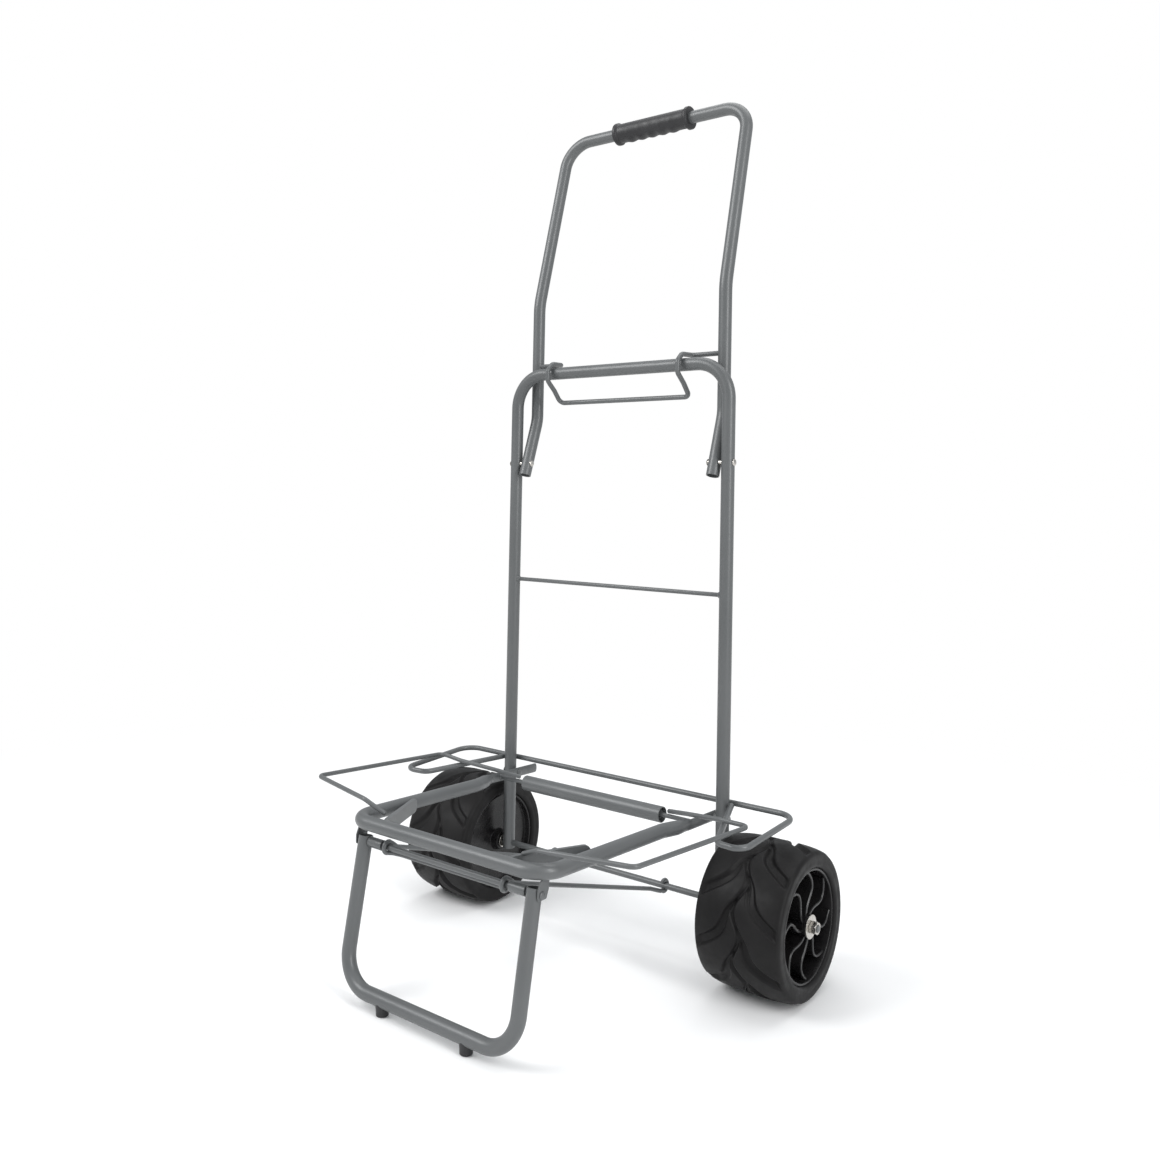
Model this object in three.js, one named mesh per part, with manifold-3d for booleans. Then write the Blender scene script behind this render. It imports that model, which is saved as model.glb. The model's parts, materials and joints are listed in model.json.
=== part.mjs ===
// Folding two-wheeled hand cart for luggage. Millimetres, Z up, the front (platform side) faces -Y.
// The pieces are placed about a point on the floor under the middle of the upright frame; the
// whole cart then moves back by CENTRE_Y, so that the origin is under the middle of its outline.
// The cart's own left is +X.
import * as THREE from "three";
import { mergeVertices } from "three/addons/utils/BufferGeometryUtils.js";
import Module from "manifold-3d";

const wasm = await Module();
wasm.setup();

// Stock sizes
const TUBE = 8; // outer radius of the 16 mm frame tube
const HANDLE_TUBE = 8;
const CROSS_TUBE = 9.3;
const WALL = 1.2;
const WIRE = 2.6; // radius of the 5.2 mm wire
const GUARD_WIRE = 3.3;
const BAIL_WIRE = 3.1;
const BRACE_WIRE = 2.5;
const AXLE = 3.7;
const ROD = 3.2;
const GAP = 0.3; // kept between pieces that touch
const CENTRE_Y = 116.4;

// Upright frame
const UPRIGHT_X = 164.3;
const UPRIGHT_BOTTOM = 76;
const FRAME_TOP = 714.4;
const FRAME_CORNER = 44;
const MID_WIRE_Z = 438.8;
const HANDLE_PIVOT_Z = 595;

// Wheels
const WHEEL_R = 83.3;
const WHEEL_IN = 175;
const WHEEL_OUT = 278.5;
const RIM_R = 66;
const HUB_OUT = 275.5; // outer end of the hub, where the nut's washer sits

// Platform
const DECK_Z = 179.3; // height of the pivots, at y 0
const DECK_SLOPE = 0.0252; // the platform rises a little towards its front
const SIDE_REAR_X = 140.6;
const SIDE_FRONT_X = 138.3;
const TAIL_X = 150.4;
const TAIL_END = 36;
const FLAT_HALF = 2.5; // half thickness of the pressed ends
const TAIL_HALF = 6;
const FRONT_Y = -298;
const DECK_CORNER = 28;
const CROSS_Y = -37;
const CROSS_HALF = 105;

// Front leg
const LEG_X = 122.4;
const LEG_BOTTOM_Y = -316.8;
const LEG_BOTTOM_Z = 16;
const ROD_Y = -291.5;
const ROD_Z = 164.5;

// Handle
const HANDLE_X = 146;
const HANDLE_TOP_X = 143.5;
const HANDLE_TOP_Y = 77;
const HANDLE_TOP_Z = 1050;

const v = (x, y, z) => new THREE.Vector3(x, y, z);

// A polyline with each inner corner replaced by an arc of the given radius.
function rounded(points, radius, step = 18) {
  const out = [points[0]];
  for (let i = 1; i < points.length - 1; i++) {
    const corner = points[i];
    const before = points[i - 1].clone().sub(corner);
    const after = points[i + 1].clone().sub(corner);
    const half = before.angleTo(after) / 2;
    const turn = Math.PI - 2 * half;
    const wanted = Array.isArray(radius) ? radius[i - 1] : radius;
    const room = Math.min(before.length(), after.length()) * 0.49;
    const r = Math.min(wanted, room * Math.tan(half));
    if (turn < 0.03 || r < 0.2) {
      out.push(corner);
      continue;
    }
    before.normalize();
    after.normalize();
    const toCentre = before.clone().add(after).normalize();
    const centre = corner.clone().addScaledVector(toCentre, r / Math.sin(half));
    const start = corner.clone().addScaledVector(before, r / Math.tan(half)).sub(centre);
    const axis = before.clone().cross(after).normalize();
    const n = Math.max(2, Math.ceil(THREE.MathUtils.radToDeg(turn) / step));
    for (let k = 0; k <= n; k++) {
      out.push(start.clone().applyAxisAngle(axis, (-turn * k) / n).add(centre));
    }
  }
  out.push(points[points.length - 1]);
  return out;
}

// A curve that goes through the given points and no others.
class Route extends THREE.Curve {
  constructor(points) {
    super();
    this.points = points;
  }

  index(u) {
    return Math.round(u * (this.points.length - 1));
  }

  getPointAt(u, target = v(0, 0, 0)) {
    return target.copy(this.points[this.index(u)]);
  }

  getTangentAt(u, target = v(0, 0, 0)) {
    const i = this.index(u);
    const before = this.points[Math.max(0, i - 1)];
    const after = this.points[Math.min(this.points.length - 1, i + 1)];
    return target.subVectors(after, before).normalize();
  }
}

// A closed surface with shared vertices and its faces pointing out.
function closed(g) {
  const bare = new THREE.BufferGeometry().setAttribute("position", g.getAttribute("position"));
  if (g.index) bare.setIndex(g.index);
  const merged = mergeVertices(bare, 1e-4);
  const p = merged.getAttribute("position");
  const ids = merged.index.array;
  const [a, b, c] = [v(0, 0, 0), v(0, 0, 0), v(0, 0, 0)];
  let volume = 0;
  for (let i = 0; i < ids.length; i += 3) {
    a.fromBufferAttribute(p, ids[i]);
    b.fromBufferAttribute(p, ids[i + 1]);
    c.fromBufferAttribute(p, ids[i + 2]);
    volume += a.dot(b.cross(c));
  }
  if (volume < 0) {
    for (let i = 0; i < ids.length; i += 3) [ids[i], ids[i + 1]] = [ids[i + 1], ids[i]];
  }
  return merged;
}

// A round bar along a path. With a wall it is a tube, open at both ends.
function bar(path, radius, sides, wall = 0) {
  const section = new THREE.Shape().absarc(0, 0, radius, 0, 2 * Math.PI);
  if (wall > 0) {
    section.holes.push(new THREE.Path().absarc(0, 0, radius - wall, 0, 2 * Math.PI, true));
  }
  return closed(
    new THREE.ExtrudeGeometry(section, {
      steps: path.length - 1,
      extrudePath: new Route(path),
      curveSegments: sides / 2,
    }),
  );
}

// Joins and cuts
function solid(g) {
  const whole = closed(g);
  return new wasm.Manifold(
    new wasm.Mesh({
      numProp: 3,
      vertProperties: new Float32Array(whole.getAttribute("position").array),
      triVerts: new Uint32Array(whole.index.array),
    }),
  );
}

function geometryOf(body) {
  const m = body.getMesh();
  const xyz = new Float32Array(m.numVert * 3);
  for (let i = 0; i < m.numVert; i++) {
    xyz.set(m.vertProperties.subarray(i * m.numProp, i * m.numProp + 3), i * 3);
  }
  return new THREE.BufferGeometry()
    .setAttribute("position", new THREE.BufferAttribute(xyz, 3))
    .setIndex(new THREE.BufferAttribute(new Uint32Array(m.triVerts), 1));
}

function cut(g, ...tools) {
  return geometryOf(tools.reduce((body, tool) => body.subtract(solid(tool)), solid(g)));
}

function join(...parts) {
  return geometryOf(parts.map(solid).reduce((a, b) => a.add(b)));
}

// The same points on the other side of the cart
const mirrored = (points) => points.map((p) => v(-p.x, p.y, p.z));

// A round bar along X between two X values, through (y, z).
function barX(x0, x1, y, z, r, sides = 12) {
  return bar([v(x0, y, z), v(x1, y, z)], r, sides);
}

// A turned piece about an X-parallel axis through (y, z): its closed profile is [x, radius].
function turnedX(profile, y, z, sides) {
  const outline = [...profile, profile[0]].map(([x, r]) => new THREE.Vector2(r, x));
  return closed(new THREE.LatheGeometry(outline, sides).rotateZ(-Math.PI / 2).translate(0, y, z));
}

// Materials
const finish = (color, roughness, metalness) =>
  new THREE.MeshStandardMaterial({ color, roughness, metalness });
const paint = finish("#64676a", 0.38, 0.25);
const zinc = finish("#b9b7b0", 0.32, 0.9);
const tyreRubber = finish("#201f20", 0.75, 0);
const rimPlastic = finish("#121213", 0.35, 0);
const gripRubber = finish("#1b1b1d", 0.6, 0);

const group = new THREE.Group();
group.name = "folding_luggage_cart";
const cart = new THREE.Group();
cart.position.y = CENTRE_Y;
group.add(cart);
const add = (name, geometry, material) => {
  const mesh = new THREE.Mesh(geometry, material);
  mesh.name = name;
  cart.add(mesh);
};
const SIDES = [
  [1, "left"],
  [-1, "right"],
];

// Upright frame: one bent tube, open at its two feet, with the holes for axle and pivots.
const framePath = rounded(
  [
    v(-UPRIGHT_X, 0, UPRIGHT_BOTTOM),
    v(-UPRIGHT_X, 0, FRAME_TOP),
    v(UPRIGHT_X, 0, FRAME_TOP),
    v(UPRIGHT_X, 0, UPRIGHT_BOTTOM),
  ],
  FRAME_CORNER,
);
const frameHoles = [];
for (const [s] of SIDES) {
  const [x0, x1] = [s * UPRIGHT_X - 12, s * UPRIGHT_X + 12];
  frameHoles.push(barX(x0, x1, 0, WHEEL_R, AXLE + 2 * GAP, 8));
  frameHoles.push(barX(x0, x1, 0, DECK_Z, ROD + 2 * GAP, 8));
  frameHoles.push(barX(x0, x1, 0, HANDLE_PIVOT_Z, ROD + 2 * GAP, 8));
}
add("upright_frame", cut(bar(framePath, TUBE, 12, WALL), ...frameHoles), paint);

// Cross wire between the uprights
const midHalf = UPRIGHT_X - TUBE - GAP;
add("mid_cross_wire", barX(-midHalf, midHalf, 0, MID_WIRE_Z, WIRE, 10), paint);

// Wheel guard: one wire that runs behind both uprights, loops forward over each wheel and comes
// back to the outer side of the upright.
const guardHalf = [
  v(253, 11.8, 196),
  v(252, -112, 188.5),
  v(218, -106, 188),
  v(176, 0, 196.5),
];
const guardPath = [...mirrored(guardHalf).reverse(), ...guardHalf];
const guardBends = [15, 15, 22, 22, 15, 15];
add("wheel_guard_wire", bar(rounded(guardPath, guardBends, 26), GUARD_WIRE, 8), paint);

// Rivets of the two pairs of frame pivots: a shank with a domed head at each end.
const HEAD = 1.6;
function rivet(x0, x1, y, z, r) {
  return turnedX(
    [
      [x0 - HEAD, 0],
      [x0 - HEAD, r * 0.7],
      [x0 - HEAD * 0.6, r * 1.1],
      [x0, r * 1.3],
      [x0, r],
      [x1, r],
      [x1, r * 1.3],
      [x1 + HEAD * 0.6, r * 1.1],
      [x1 + HEAD, r * 0.7],
      [x1 + HEAD, 0],
    ],
    y,
    z,
    10,
  );
}
for (const [s, side] of SIDES) {
  const outer = UPRIGHT_X + TUBE + GAP;
  const handleInner = HANDLE_X - HANDLE_TUBE - GAP;
  const tailInner = TAIL_X - FLAT_HALF - GAP;
  const handleEnds = s > 0 ? [handleInner, outer] : [-outer, -handleInner];
  const deckEnds = s > 0 ? [tailInner, outer] : [-outer, -tailInner];
  add("handle_rivet_" + side, rivet(...handleEnds, 0, HANDLE_PIVOT_Z, ROD), zinc);
  add("platform_rivet_" + side, rivet(...deckEnds, 0, DECK_Z, ROD), paint);
}

// Axle with a washer and a nut outside each wheel, and a spacer washer inside it.
const WASHER = 1.8;
const NUT = 7.5;
const AXLE_END = HUB_OUT + 0.5 + WASHER + GAP + NUT + 1.2;
add("axle", barX(-AXLE_END, AXLE_END, 0, WHEEL_R, AXLE, 14), paint);
for (const [s, side] of SIDES) {
  const place = (x) => s * x;
  const washer = (x0, x1, r) =>
    turnedX(
      [
        [place(x0), AXLE + GAP],
        [place(x0), r],
        [place(x1), r],
        [place(x1), AXLE + GAP],
      ],
      0,
      WHEEL_R,
      16,
    );
  add("spacer_washer_" + side, washer(UPRIGHT_X + TUBE + 0.5, WHEEL_IN - 0.9, 9), zinc);
  const washerIn = HUB_OUT + 0.5;
  const nutIn = washerIn + WASHER + GAP;
  add("axle_washer_" + side, washer(washerIn, washerIn + WASHER, 13), zinc);
  const hex = new THREE.CylinderGeometry(7.2, 7.2, NUT, 6).rotateZ(Math.PI / 2);
  hex.translate(place(nutIn + NUT / 2), 0, WHEEL_R);
  const bore = barX(place(nutIn - 1), place(nutIn + NUT + 1), 0, WHEEL_R, AXLE + GAP);
  add("axle_nut_" + side, cut(hex, bore), zinc);
}

// Tyre: a barrel-shaped tread whose curved lugs from each side interlock at the middle.
const LUGS = 9;
const LUG_DEPTH = 4.5;
const SIDEWALL_R = 68;
const CROWN = 4.2; // how much smaller the tread is at its shoulders
const SHOULDER = 4;
const WHEEL_MID = (WHEEL_IN + WHEEL_OUT) / 2;
const HALF_WHEEL = (WHEEL_OUT - WHEEL_IN) / 2;
function lugHeight(across, angle) {
  const half = across < 0 ? 0 : Math.PI / LUGS;
  const bend = Math.pow(Math.abs(across), 0.8) * 0.75;
  const phase = ((angle + half + bend) * LUGS) / (2 * Math.PI);
  const wave = Math.abs(phase - Math.floor(phase) - 0.5) * 2;
  const inGroove = THREE.MathUtils.smoothstep(wave, 0.72, 0.92);
  const atEdge = THREE.MathUtils.smoothstep(Math.abs(across), 0.78, 0.98);
  const atMiddle = 1 - THREE.MathUtils.smoothstep(Math.abs(across), 0.02, 0.12);
  return 1 - Math.max(inGroove * (1 - atEdge), atMiddle * 0.5);
}
function tyre(s) {
  const tread = [-0.93, -0.75, -0.4, -0.1, 0.1, 0.4, 0.75, 0.93];
  const profile = [
    [-HALF_WHEEL + 2, RIM_R - 3.8],
    [-HALF_WHEEL, SIDEWALL_R],
    [-HALF_WHEEL, WHEEL_R - CROWN - SHOULDER],
    ...tread.map((t) => [t * HALF_WHEEL, WHEEL_R - CROWN * t ** 4]),
    [HALF_WHEEL, WHEEL_R - CROWN - SHOULDER],
    [HALF_WHEEL, SIDEWALL_R],
    [HALF_WHEEL - 2, RIM_R - 3.8],
  ];
  const g = turnedX(profile, 0, 0, 6 * LUGS);
  const p = g.getAttribute("position");
  for (let i = 0; i < p.count; i++) {
    const [x, y, z] = [p.getX(i), p.getY(i), p.getZ(i)];
    const r = Math.hypot(y, z);
    if (r < SIDEWALL_R + 1) continue;
    const sunk = LUG_DEPTH * (1 - lugHeight(x / HALF_WHEEL, Math.atan2(y, -z)));
    p.setXYZ(i, x, (y * (r - sunk)) / r, (z * (r - sunk)) / r);
  }
  if (s < 0) g.rotateZ(Math.PI);
  return g.translate(s * WHEEL_MID, 0, WHEEL_R);
}

// Rim: a drum closed by a web near its inner end, a hub, and eight curved ribs in the outer dish.
const RIBS = 8;
const RIB_HALF = 1.6;
const DRUM_R = RIM_R - 8.5;
const LIP_R = RIM_R - 4.2;
const WEB_IN = WHEEL_IN + 10;
const WEB_OUT = WEB_IN + 4;
const RIM_END = WHEEL_OUT - 3;
const RIB_END = RIM_END - 2.5;
function ribShape(angle) {
  const steps = 3;
  const line = [];
  for (let k = 0; k <= steps; k++) {
    const r = 10.5 + ((DRUM_R + 1 - 10.5) * k) / steps;
    const turn = angle + 0.32 * Math.sin((Math.PI * (k - 0.6)) / 2.4);
    line.push([r * Math.sin(turn), r * Math.cos(turn)]);
  }
  const sideOf = (k, d) => {
    const [p, q] = [line[Math.max(0, k - 1)], line[Math.min(steps, k + 1)]];
    const length = Math.hypot(q[0] - p[0], q[1] - p[1]);
    const [dx, dy] = [(q[0] - p[0]) / length, (q[1] - p[1]) / length];
    return [line[k][0] - d * dy, line[k][1] + d * dx];
  };
  const outline = new THREE.Shape();
  for (let k = 0; k <= steps; k++) outline[k ? "lineTo" : "moveTo"](...sideOf(k, RIB_HALF));
  for (let k = steps; k >= 0; k--) outline.lineTo(...sideOf(k, -RIB_HALF));
  return outline;
}
function rim(s) {
  const start = WHEEL_IN + 3;
  const body = turnedX(
    [
      [start, DRUM_R + 1.5],
      [start, LIP_R],
      [RIM_END, LIP_R],
      [RIM_END, DRUM_R + 1.5],
      [RIM_END - 12, DRUM_R],
      [WEB_OUT, DRUM_R],
      [WEB_OUT, 14],
      [HUB_OUT, 12],
      [HUB_OUT, AXLE + GAP],
      [WHEEL_IN, AXLE + GAP],
      [WHEEL_IN, 12],
      [WEB_IN, 14],
      [WEB_IN, DRUM_R],
    ].map(([x, r]) => [s * x, r]),
    0,
    WHEEL_R,
    28,
  );
  const depth = RIB_END - WEB_OUT + 1;
  const ribs = [];
  for (let i = 0; i < RIBS; i++) {
    const shape = ribShape((2 * Math.PI * i) / RIBS);
    const rib = new THREE.ExtrudeGeometry(shape, { depth, bevelEnabled: false });
    rib.rotateY(Math.PI / 2);
    rib.translate(s > 0 ? WEB_OUT - 1 : -RIB_END, 0, WHEEL_R);
    ribs.push(rib);
  }
  return join(body, ...ribs);
}
for (const [s, side] of SIDES) {
  add("tyre_" + side, tyre(s), tyreRubber);
  add("rim_" + side, rim(s), rimPlastic);
}

// Handle: one bent tube, its legs inside the uprights and pivoted near their lower ends.
const handleLeg = [
  v(HANDLE_X, -4, 579),
  v(HANDLE_X, 20, 655),
  v(HANDLE_X, 20, 812.6),
  v(HANDLE_TOP_X, HANDLE_TOP_Y, HANDLE_TOP_Z),
];
const handlePath = rounded(
  [...mirrored(handleLeg), ...handleLeg.reverse()],
  [50, 90, 36, 36, 90, 50],
);
const bailStub = { y: 18, z: 728 };
const handleHoles = [];
for (const [s] of SIDES) {
  const [x0, x1] = [s * HANDLE_X - 10, s * HANDLE_X + 10];
  handleHoles.push(barX(x0, x1, 0, HANDLE_PIVOT_Z, ROD + 2 * GAP, 8));
  const wallHole = [s * (HANDLE_X - 9), s * HANDLE_X].sort((a, b) => a - b);
  handleHoles.push(barX(...wallHole, bailStub.y, bailStub.z, BAIL_WIRE + 2 * GAP, 8));
}
add("handle_tube", cut(bar(handlePath, HANDLE_TUBE, 12, WALL), ...handleHoles), paint);

// Grip: a moulded sleeve with a collar at each end and five swells between the fingers' places.
const GRIP_HALF = 59;
const GRIP_SHIFT = -1.3;
const GRIP_BORE = HANDLE_TUBE + GAP;
const gripSide = [
  [GRIP_HALF, 15],
  [GRIP_HALF - 4, 15],
  [GRIP_HALF - 6, 13.5],
];
const gripProfile = [[-GRIP_HALF, GRIP_BORE]];
gripSide.forEach(([x, r]) => gripProfile.push([-x, r]));
for (let i = 0; i < 5; i++) {
  const x = -36 + 16.7 * i;
  gripProfile.push([x - 8, 13.5]);
  gripProfile.push([x, 14.4]);
}
gripProfile.push([40, 13.5]);
gripSide.reverse().forEach(([x, r]) => gripProfile.push([x, r]));
gripProfile.push([GRIP_HALF, GRIP_BORE]);
const grip = turnedX(gripProfile, HANDLE_TOP_Y, HANDLE_TOP_Z, 16).translate(GRIP_SHIFT, 0, 0);
add("handle_grip", grip, gripRubber);

// Latch bail: a sprung wire, pivoted in the handle legs, that hooks round the frame's top bar.
const bailHalf = [
  v(HANDLE_X - 5, bailStub.y, bailStub.z),
  v(102, bailStub.y, bailStub.z),
  v(101, -5, 727),
  v(101, -14.5, 718),
  v(101, -14.5, 704),
  v(101, 0, 692),
  v(101, 14, 676.5),
];
const bailBends = [6, 8, 7, 8, 12, 7];
const bailPath = rounded(
  [...bailHalf, ...mirrored(bailHalf).reverse()],
  [...bailBends, ...bailBends.reverse()],
  34,
);
add("latch_bail", bar(bailPath, BAIL_WIRE, 8), paint);

// Platform: one bent tube whose rear ends are pressed flat and pass inside the uprights.
const JOGGLE = [52, 92]; // how far in front of the pivots the side tubes step inwards
const deckHeight = (y) => DECK_Z - DECK_SLOPE * y;
const onDeck = (x, y) => v(x, y, deckHeight(y));
const sidePath = [
  onDeck(TAIL_X, TAIL_END),
  onDeck(TAIL_X, -JOGGLE[0]),
  onDeck(SIDE_REAR_X, -JOGGLE[1]),
  onDeck(SIDE_FRONT_X, FRONT_Y),
];
const deckPath = rounded(
  [...sidePath, ...mirrored(sidePath).reverse()],
  [30, 30, DECK_CORNER, DECK_CORNER, 30, 30],
);
const INSIDE = TUBE - WALL;
function pressTails(g) {
  const outerPress = [FLAT_HALF / TUBE, TAIL_HALF / TUBE];
  const innerPress = [(FLAT_HALF - WALL) / INSIDE, (TAIL_HALF - WALL) / INSIDE];
  const p = g.getAttribute("position");
  for (let i = 0; i < p.count; i++) {
    const [x, y, z] = [p.getX(i), p.getY(i), p.getZ(i)];
    const along = THREE.MathUtils.clamp((-y - JOGGLE[0]) / (JOGGLE[1] - JOGGLE[0]), 0, 1);
    const middle = Math.sign(x) * THREE.MathUtils.lerp(TAIL_X, SIDE_REAR_X, along);
    const [dx, dz] = [x - middle, z - deckHeight(y)];
    const inside = Math.hypot(dx, dz) < TUBE - WALL / 2;
    const [wide, tall] = inside ? innerPress : outerPress;
    const flat = 1 - THREE.MathUtils.smoothstep(-y, JOGGLE[0], JOGGLE[0] + 22);
    if (flat === 0) continue;
    const sx = THREE.MathUtils.lerp(1, wide, flat);
    const sz = THREE.MathUtils.lerp(1, tall, flat);
    p.setXYZ(i, middle + dx * sx, y, deckHeight(y) + dz * sz);
  }
  return g;
}
const deckHoles = SIDES.map(([s]) =>
  barX(s * TAIL_X - 8, s * TAIL_X + 8, 0, DECK_Z, ROD + 2 * GAP, 8),
);
add("platform_tube", cut(pressTails(bar(deckPath, TUBE, 12, WALL)), ...deckHoles), paint);

// Rear cross rod from tail to tail, through a wider tube that is open at both of its mouths.
const crossRodHalf = TAIL_X - FLAT_HALF - GAP;
const crossZ = deckHeight(CROSS_Y);
add("rear_cross_rod", barX(-crossRodHalf, crossRodHalf, CROSS_Y, crossZ, WIRE, 12), paint);
const MOUTH = 6;
const PLUG = 3;
const crossBore = CROSS_TUBE - WALL;
const crossEnd = [
  [CROSS_HALF - MOUTH - PLUG, crossBore],
  [CROSS_HALF - MOUTH - PLUG, WIRE + GAP],
  [CROSS_HALF - MOUTH, WIRE + GAP],
  [CROSS_HALF - MOUTH, crossBore],
  [CROSS_HALF, crossBore],
  [CROSS_HALF, CROSS_TUBE],
];
const crossProfile = [...crossEnd, ...crossEnd.map(([x, r]) => [-x, r]).reverse()];
add("rear_cross_tube", turnedX(crossProfile, CROSS_Y, crossZ, 16), paint);

// Corner gussets: flat straps, set on edge, with round ends across the two front corners.
const deckClearance = bar(deckPath, TUBE + GAP, 12);
for (const [s, side] of SIDES) {
  const length = 94;
  const outline = new THREE.Shape();
  outline.absarc(length / 2 - 8, 0, 8, -Math.PI / 2, Math.PI / 2);
  outline.absarc(8 - length / 2, 0, 8, Math.PI / 2, (3 * Math.PI) / 2);
  const strap = new THREE.ExtrudeGeometry(outline, {
    depth: 4.6,
    bevelEnabled: false,
    curveSegments: 5,
  });
  strap.translate(0, 0, -2.3).rotateX(Math.PI / 2).rotateZ(s * THREE.MathUtils.degToRad(65));
  strap.translate(s * 109, -252, 185.6);
  add("corner_gusset_" + side, cut(strap, deckClearance), paint);
}

// Wings: wire loops that reach out over the side tubes and fold inwards over the platform. Each
// turns on the line between its two ends. The right one is bent up a little more than the left.
const wingCorners = {
  left: [v(228.8, -274, 208.5), v(235.5, -67.8, 199.8)],
  right: [v(-227, -274, 214), v(-227, -67.8, 203.5)],
};
for (const [s, side] of SIDES) {
  const wingPath = [
    v(s * 100.3, -283, 195.5),
    v(s * 126, -291, s > 0 ? 206 : 209),
    ...wingCorners[side],
    v(s * 198, -63, 198.6),
    v(s * 148, -50, 192.3),
    v(s * 114, -37.4, 186.3),
  ];
  add("wing_" + side, bar(rounded(wingPath, [8, 9, 11, 30, 30], 30), WIRE, 8), paint);
}

// Front leg: one bent tube on a cross rod under the front of the platform.
const legPath = rounded(
  [
    v(-LEG_X, ROD_Y + 0.9, ROD_Z + 5.5),
    v(-LEG_X, LEG_BOTTOM_Y, LEG_BOTTOM_Z),
    v(LEG_X, LEG_BOTTOM_Y, LEG_BOTTOM_Z),
    v(LEG_X, ROD_Y + 0.9, ROD_Z + 5.5),
  ],
  38,
);
const legHoles = SIDES.map(([s]) =>
  barX(s * LEG_X - 12, s * LEG_X + 12, ROD_Y, ROD_Z, ROD + 2 * GAP, 8),
);
add("front_leg_tube", cut(bar(legPath, TUBE, 12, WALL), ...legHoles), paint);
const legClearance = bar(legPath, TUBE + GAP, 12);

const PLATE = 1.8;
const plateX = LEG_X + TUBE + GAP;
const rodHalf = plateX + PLATE + GAP;
add("leg_cross_rod", rivet(-rodHalf, rodHalf, ROD_Y, ROD_Z, ROD), paint);
for (const [s, side] of SIDES) {
  const outline = new THREE.Shape();
  outline.moveTo(-297, 159.5);
  outline.lineTo(-297, 170);
  outline.lineTo(-293.5, 178.5);
  outline.lineTo(-279.6, 180.5);
  outline.lineTo(-281, 168);
  outline.lineTo(-284.5, 159.5);
  const plate = new THREE.ExtrudeGeometry(outline, { depth: PLATE, bevelEnabled: false });
  plate.rotateX(Math.PI / 2).rotateZ(Math.PI / 2);
  plate.translate(s > 0 ? plateX : -plateX - PLATE, 0, 0);
  const hole = barX(s * plateX - 9, s * plateX + 9, ROD_Y, ROD_Z, ROD + GAP);
  add("leg_bracket_" + side, cut(plate, hole, deckClearance), paint);

  const sleeveEnds = [s * 92.5, s * (LEG_X - TUBE - 0.5)].sort((p, q) => p - q);
  const sleeve = barX(...sleeveEnds, ROD_Y, ROD_Z, 5.6, 12);
  const bore = barX(sleeveEnds[0] - 1, sleeveEnds[1] + 1, ROD_Y, ROD_Z, ROD + GAP);
  add("rod_sleeve_" + side, cut(sleeve, bore), paint);

  const foot = new THREE.CylinderGeometry(7.6, 6.8, 14, 12).rotateX(Math.PI / 2);
  foot.translate(s * 60.8, LEG_BOTTOM_Y, 7);
  add("rubber_foot_" + side, cut(foot, legClearance), gripRubber);
}

// Leg brace: one wire with an eye round the axle at each end, hooked over the cross rod.
const eye = AXLE + GAP + BRACE_WIRE;
const armX = 85.5;
const bracePath = [];
for (let a = -40; a < 230; a += 38) {
  const t = THREE.MathUtils.degToRad(a);
  bracePath.push(v(armX, eye * Math.sin(t), WHEEL_R + eye * Math.cos(t)));
}
bracePath.push(v(armX, -9, WHEEL_R - 4));
bracePath.push(v(armX, -30, WHEEL_R + 4.5));
const hook = ROD + GAP + BRACE_WIRE;
bracePath.push(v(armX, ROD_Y + 13, ROD_Z - 2.5));
bracePath.push(v(armX, ROD_Y + 7, ROD_Z + 2.2));
for (let a = 75; a <= 270; a += 32) {
  const t = THREE.MathUtils.degToRad(a);
  bracePath.push(v(armX, ROD_Y + hook * Math.cos(t), ROD_Z + hook * Math.sin(t)));
}
bracePath.push(v(armX - 3, ROD_Y + 5, ROD_Z - 7));
bracePath.push(v(armX - 12, ROD_Y + 9, ROD_Z - 8));
bracePath.push(v(armX - 20, ROD_Y + 9, ROD_Z - 8));
add("leg_brace", bar([...bracePath, ...mirrored(bracePath).reverse()], BRACE_WIRE, 8), paint);

export default group;
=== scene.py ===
"""Looks of a folding two-wheeled luggage cart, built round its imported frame.

Lengths below are millimetres from the point on the floor under the middle of the upright frame.
make() moves them back by CENTRE_Y and turns them into metres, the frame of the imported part.
The cart's own left is +X and its front (the platform side) faces -Y.
"""

import json
import math

import bmesh
import bpy
import numpy as np
from mathutils import Matrix, Vector


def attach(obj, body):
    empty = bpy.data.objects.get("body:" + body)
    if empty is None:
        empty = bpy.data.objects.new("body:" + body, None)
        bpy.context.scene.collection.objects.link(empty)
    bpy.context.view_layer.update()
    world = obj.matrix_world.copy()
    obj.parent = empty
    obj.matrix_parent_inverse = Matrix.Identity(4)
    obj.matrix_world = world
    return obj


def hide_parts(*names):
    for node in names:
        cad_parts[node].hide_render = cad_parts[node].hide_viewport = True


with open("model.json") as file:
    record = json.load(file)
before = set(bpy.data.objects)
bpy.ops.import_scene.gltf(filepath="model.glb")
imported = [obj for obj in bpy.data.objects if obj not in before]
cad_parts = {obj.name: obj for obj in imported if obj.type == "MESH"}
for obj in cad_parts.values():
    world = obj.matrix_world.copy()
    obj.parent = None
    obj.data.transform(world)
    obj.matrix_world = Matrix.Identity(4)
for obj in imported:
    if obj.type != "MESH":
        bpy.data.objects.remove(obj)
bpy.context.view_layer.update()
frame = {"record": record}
BODY_OF = {
    node: body
    for body, nodes in frame["record"]["behaviour"]["bodies"].items()
    for node in nodes
}
CENTRE_Y = 116.4

# Stock sizes
TUBE = 8.0
HANDLE_TUBE = 8.0
CROSS_TUBE = 9.3
WALL = 1.2
WIRE = 2.6
GUARD_WIRE = 3.3
BAIL_WIRE = 3.1
BRACE_WIRE = 2.5
AXLE = 3.7
ROD = 3.2
GAP = 0.3

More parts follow.
